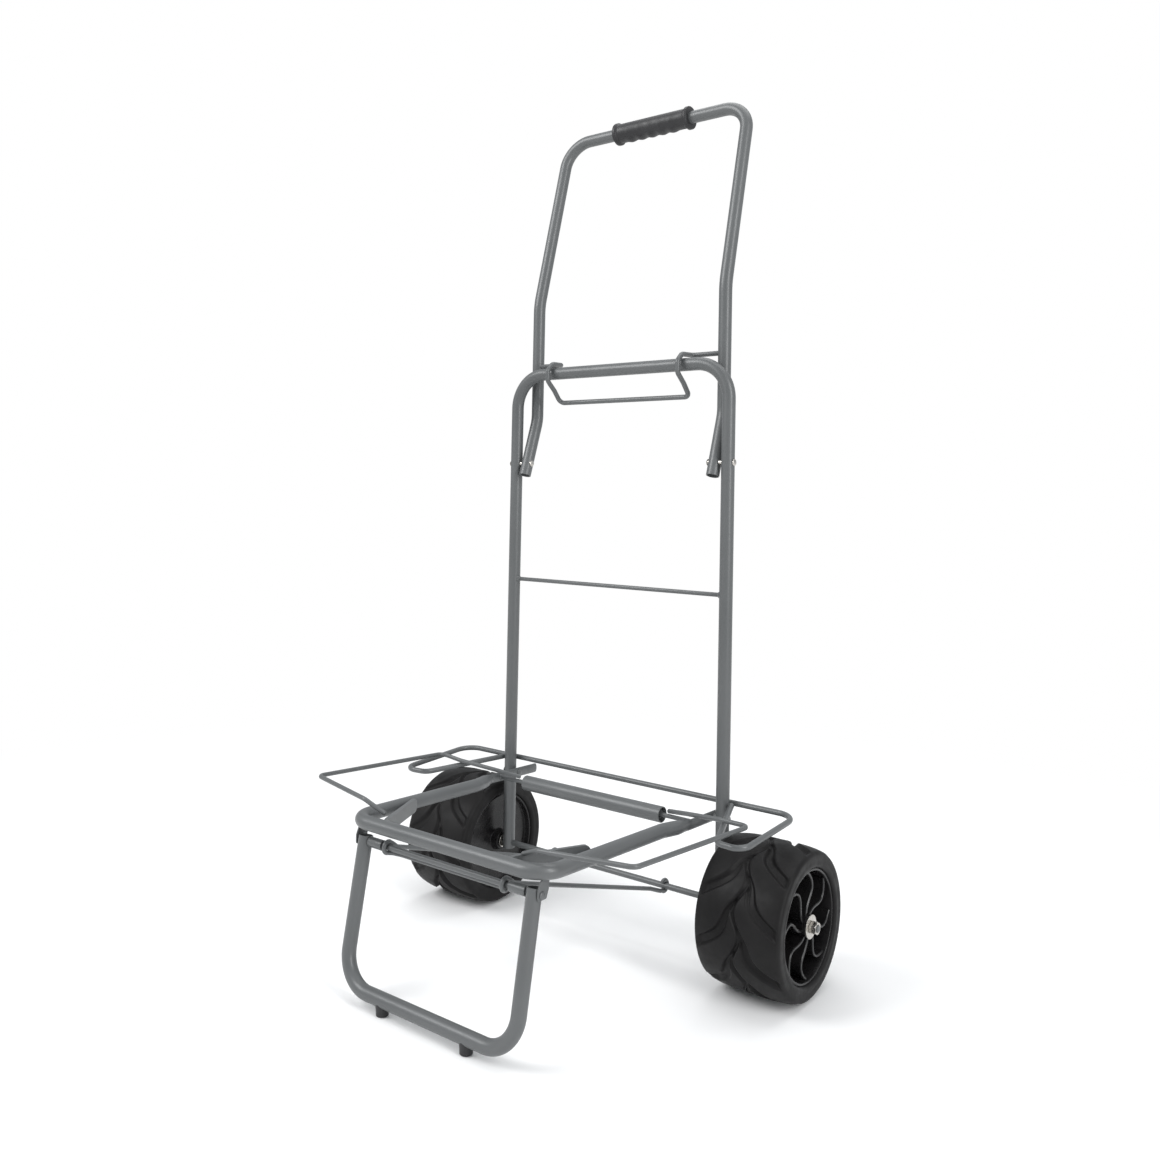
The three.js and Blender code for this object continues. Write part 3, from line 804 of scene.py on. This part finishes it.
def press_tails(verts):
    """Flatten the rear ends of the platform's side tubes."""
    x, y, z = verts.T
    along_y = np.clip((-y - JOGGLE[0]) / (JOGGLE[1] - JOGGLE[0]), 0, 1)
    middle = np.sign(x) * (TAIL_X + (SIDE_REAR_X - TAIL_X) * along_y)
    level = deck_height(y)
    dx, dz = x - middle, z - level
    inside = np.hypot(dx, dz) < TUBE - WALL / 2
    bore = TUBE - WALL
    wide = np.where(inside, (FLAT_HALF - WALL) / bore, FLAT_HALF / TUBE)
    tall = np.where(inside, (TAIL_HALF - WALL) / bore, TAIL_HALF / TUBE)
    flat = 1 - smoothstep(JOGGLE[0], JOGGLE[0] + 22, -y)
    pressed_x = np.where(flat > 0, middle + dx * (1 + (wide - 1) * flat), x)
    return np.c_[pressed_x, y, level + dz * (1 + (tall - 1) * flat)]


def platform():
    verts, faces = tube(dense(deck_path(), 4), TUBE, 32, WALL, 30)
    shown("platform_tube", (press_tails(verts), faces), PAINT, PAINT_SLOT)
    level = deck_height(CROSS_Y)
    half = TAIL_X - FLAT_HALF - GAP
    rod = tube([(-half, CROSS_Y, level), (0, CROSS_Y, level), (half, CROSS_Y, level)], WIRE, 20)
    shown("rear_cross_rod", rod, PAINT, PAINT_SLOT)
    shown("rear_cross_tube", cross_tube(level), PAINT, PAINT_SLOT)
    for s, side in SIDES:
        start = (s * (half + 0.2), CROSS_Y, level)
        weld("weld_rod_" + side, start, (-s, 0, 0), WIRE, 1.4, "platform")
        shown("corner_gusset_" + side, gusset(s), PAINT, PAINT_SLOT)
        shown("leg_bracket_" + side, bracket(s), PAINT, PAINT_SLOT)
        ends = sorted([s * SLEEVE_IN, s * (LEG_X - TUBE - 0.5)])
        bore = ROD + GAP
        outline = [(ends[0], bore), (ends[0], SLEEVE_R), (ends[1], SLEEVE_R), (ends[1], bore)]
        sleeve = turned(soft_profile(outline, 0.6, True), 36, True)
        shown("rod_sleeve_" + side, moved(sleeve, (0, ROD_Y, ROD_Z)), PAINT, PAINT_SLOT)
    plate_x = LEG_X + TUBE + GAP
    rod_half = plate_x + PLATE + GAP
    rod = moved(dome(-rod_half, rod_half, ROD), (0, ROD_Y, ROD_Z))
    shown("leg_cross_rod", rod, PAINT, PAINT_SLOT)


def cross_tube(level):
    """The wide tube round the rear cross rod, open at its mouths and plugged a little way in."""
    mouth, plug, bore = 6, 3, CROSS_TUBE - WALL
    end = [
        (CROSS_HALF - mouth - plug, bore),
        (CROSS_HALF - mouth - plug, WIRE + GAP),
        (CROSS_HALF - mouth, WIRE + GAP),
        (CROSS_HALF - mouth, bore),
        (CROSS_HALF, bore),
        (CROSS_HALF, CROSS_TUBE),
    ]
    outline = [*end, *[(-x, r) for x, r in reversed(end)]]
    return moved(turned(soft_profile(outline, 0.4, True), 48, True), (0, CROSS_Y, level))


def gusset(s):
    """A strap with round ends, set on edge across a front corner."""
    outline = []
    for middle, start in ((GUSSET_HALF, -90), (-GUSSET_HALF, 90)):
        for a in np.radians(np.linspace(start, start + 180, 15)):
            outline.append((middle + GUSSET_R * math.cos(a), GUSSET_R * math.sin(a)))
    strap = slab(outline, GUSSET_THICK, 0.9)
    on_edge = Matrix.Rotation(math.pi / 2, 4, "X")
    turn = Matrix.Rotation(s * math.radians(GUSSET_TURN), 4, "Z") @ on_edge
    x, y, z = GUSSET_AT
    return moved(moved(strap, matrix=turn), (s * x, y, z))


def bracket(s):
    """The small six-sided plate that hangs under the side tube and holds the leg's cross rod."""
    outline = [
        (-297, 159.5),
        (-297, 170),
        (-293.5, 178.5),
        (-279.6, 180.5),
        (-281, 168),
        (-284.5, 159.5),
    ]
    soft = rounded([(p[0], p[1], 0) for p in [outline[-1], *outline, outline[0]]], 2.5, 15)[1:-1]
    verts, faces = slab(soft[:, :2], PLATE, 0.4)
    verts = np.c_[verts[:, 2], verts[:, 0], verts[:, 1]]
    return moved((verts, faces), (s * (LEG_X + TUBE + GAP + PLATE / 2), 0, 0))


def wings():
    corners = {
        "left": [(126, -291, 206), (228.8, -274, 208.5), (235.5, -67.8, 199.8)],
        "right": [(-126, -291, 209), (-227, -274, 214), (-227, -67.8, 203.5)],
    }
    for s, side in SIDES:
        points = [
            (s * 100.3, -283, 195.5),
            *corners[side],
            (s * 198, -63, 198.6),
            (s * 148, -50, 192.3),
            (s * 114, -37.4, 186.3),
        ]
        path = rounded(points, [8, 9, 11, 30, 30], 8)
        shown("wing_" + side, tube(path, WIRE, 20), PAINT, PAINT_SLOT)


# ---------------------------------------------------------------- front leg and brace
def front_leg():
    path = rounded(
        [
            (-LEG_X, ROD_Y + 0.9, ROD_Z + 5.5),
            (-LEG_X, LEG_BOTTOM_Y, LEG_BOTTOM_Z),
            (LEG_X, LEG_BOTTOM_Y, LEG_BOTTOM_Z),
            (LEG_X, ROD_Y + 0.9, ROD_Z + 5.5),
        ],
        38,
        4,
    )
    shown("front_leg_tube", tube(path, TUBE, 32, WALL, 8), PAINT, PAINT_SLOT)
    outline = [
        (0.1, 0.5),
        (0.1, 5.6),
        (0.9, 6.8),
        (6, 7.0),
        (10, 7.4),
        (13.2, 7.6),
        (14, 7.0),
        (14, 0.5),
    ]
    for s, side in SIDES:
        foot = turned(soft_profile(outline, 0.8), 40)
        up = Matrix.Rotation(-math.pi / 2, 4, "Y")
        verts, faces = moved(foot, (s * FOOT_X, LEG_BOTTOM_Y, 0), up)
        shown("rubber_foot_" + side, (verts, faces), RUBBER, "black_rubber")


def brace():
    eye = AXLE + GAP + BRACE_WIRE
    half = []
    for a in np.arange(-40, 230, 12.0):
        t = math.radians(a)
        half.append((BRACE_X, eye * math.sin(t), WHEEL_R + eye * math.cos(t)))
    half.append((BRACE_X, -9, WHEEL_R - 4))
    half.append((BRACE_X, -30, WHEEL_R + 4.5))
    half.append((BRACE_X, ROD_Y + 13, ROD_Z - 2.5))
    half.append((BRACE_X, ROD_Y + 7, ROD_Z + 2.2))
    hook = ROD + GAP + BRACE_WIRE
    for a in np.arange(75, 268, 12.0):
        t = math.radians(a)
        half.append((BRACE_X, ROD_Y + hook * math.cos(t), ROD_Z + hook * math.sin(t)))
    half.append((BRACE_X - 3, ROD_Y + 5, ROD_Z - 7))
    half.append((BRACE_X - 12, ROD_Y + 9, ROD_Z - 8))
    half.append((BRACE_X - 20, ROD_Y + 9, ROD_Z - 8))
    points = [*half, *mirrored(half)[::-1]]
    path = rounded(points, 4.0, 14)
    shown("leg_brace", tube(path, BRACE_WIRE, 16), PAINT, PAINT_SLOT)


upright_frame()
guard_wire()
rivets()
axle_parts()
wheels()
handle()
latch()
platform()
wings()
front_leg()
brace()


# ---------------------------------------------------------------- stage, light and camera
def plain_floor():
    """A pale round floor that fades into the white surroundings away from the cart."""
    rings = [0.0, 0.4, 0.8, 1.2, 1.6, 2.4, 4.0, 9.0]
    verts = [(0, 0, 0)]
    segments = 64
    for r in rings[1:]:
        for k in range(segments):
            a = 2 * math.pi * k / segments
            verts.append((r * math.cos(a), r * math.sin(a), 0))
    faces = [(0, 1 + k, 1 + (k + 1) % segments) for k in range(segments)]
    faces += grid_faces(len(rings) - 1, segments, 1)
    mesh = bpy.data.meshes.new("floor")
    mesh.from_pydata(verts, [], faces)
    floor = bpy.data.objects.new("floor", mesh)
    bpy.context.scene.collection.objects.link(floor)
    material = bpy.data.materials.new("floor")
    material.use_nodes = True
    tree = material.node_tree
    tree.nodes.clear()
    place = tree.nodes.new("ShaderNodeTexCoord")
    distance = tree.nodes.new("ShaderNodeVectorMath")
    distance.operation = "LENGTH"
    fade = tree.nodes.new("ShaderNodeMapRange")
    fade.interpolation_type = "SMOOTHSTEP"
    fade.inputs["From Min"].default_value = 0.45
    fade.inputs["From Max"].default_value = 1.5
    near = tree.nodes.new("ShaderNodeBsdfDiffuse")
    near.inputs["Color"].default_value = (0.93, 0.93, 0.93, 1)
    far = tree.nodes.new("ShaderNodeEmission")
    far.inputs["Color"].default_value = (1, 1, 1, 1)
    far.inputs["Strength"].default_value = 1.0
    mixed = tree.nodes.new("ShaderNodeMixShader")
    out = tree.nodes.new("ShaderNodeOutputMaterial")
    tree.links.new(place.outputs["Object"], distance.inputs[0])
    tree.links.new(distance.outputs["Value"], fade.inputs["Value"])
    tree.links.new(fade.outputs["Result"], mixed.inputs["Fac"])
    tree.links.new(near.outputs[0], mixed.inputs[1])
    tree.links.new(far.outputs[0], mixed.inputs[2])
    tree.links.new(mixed.outputs[0], out.inputs["Surface"])
    mesh.materials.append(material)


def white_world():
    world = bpy.data.worlds.new("world")
    bpy.context.scene.world = world
    world.use_nodes = True
    tree = world.node_tree
    seen = tree.nodes["Background"]
    seen.inputs["Color"].default_value = (1, 1, 1, 1)
    seen.inputs["Strength"].default_value = 1.0
    lighting = tree.nodes.new("ShaderNodeBackground")
    lighting.inputs["Color"].default_value = (0.95, 0.975, 1.0, 1)
    lighting.inputs["Strength"].default_value = 0.62
    path = tree.nodes.new("ShaderNodeLightPath")
    mixed = tree.nodes.new("ShaderNodeMixShader")
    tree.links.new(path.outputs["Is Camera Ray"], mixed.inputs["Fac"])
    tree.links.new(lighting.outputs[0], mixed.inputs[1])
    tree.links.new(seen.outputs[0], mixed.inputs[2])
    tree.links.new(mixed.outputs[0], tree.nodes["World Output"].inputs["Surface"])


LIGHTS = (
    ("key", (-1.6, -2.0, 2.4), (1.6, 1.6), 62),
    ("side", (2.6, -0.6, 1.5), (0.6, 2.2), 44),
    ("top", (0.0, 0.6, 3.0), (2.4, 2.0), 28),
)
LIT_POINT = Vector((0, 0, 0.4))


def softbox(name, place, size, watts):
    light = bpy.data.lights.new(name, "AREA")
    light.shape = "RECTANGLE"
    light.size, light.size_y = size
    light.energy = watts
    lamp = bpy.data.objects.new(name, light)
    bpy.context.scene.collection.objects.link(lamp)
    lamp.location = place
    lamp.rotation_euler = (LIT_POINT - lamp.location).to_track_quat("-Z", "Y").to_euler()


LENS = 32.98
SENSOR = 36
SHIFT_UP = -0.0961
CAMERA_ANGLES = (37.537, -1.5833, -1.1186)  # azimuth, elevation, roll in degrees
CAMERA_AT = (0.7884, -0.9817, 0.5499)


def camera():
    """The photograph's viewpoint: level with the middle of the uprights, front left of the cart."""
    data = bpy.data.cameras.new("camera")
    data.sensor_width = SENSOR
    data.lens = LENS
    data.shift_y = SHIFT_UP
    cam = bpy.data.objects.new("camera", data)
    bpy.context.scene.collection.objects.link(cam)
    azimuth, elevation, roll = (math.radians(a) for a in CAMERA_ANGLES)
    back = Vector((
        math.sin(azimuth) * math.cos(elevation),
        -math.cos(azimuth) * math.cos(elevation),
        math.sin(elevation),
    ))
    right = Vector((math.cos(azimuth), math.sin(azimuth), 0))
    up = back.cross(right)
    turned_right = right * math.cos(roll) - up * math.sin(roll)
    turned_up = right * math.sin(roll) + up * math.cos(roll)
    axes = Matrix((turned_right, turned_up, back)).transposed()
    place = Matrix.Translation(CAMERA_AT)
    cam.matrix_world = place @ axes.to_4x4()
    bpy.context.scene.camera = cam


plain_floor()
white_world()
for light in LIGHTS:
    softbox(*light)
camera()
bpy.context.scene.view_settings.view_transform = "Standard"
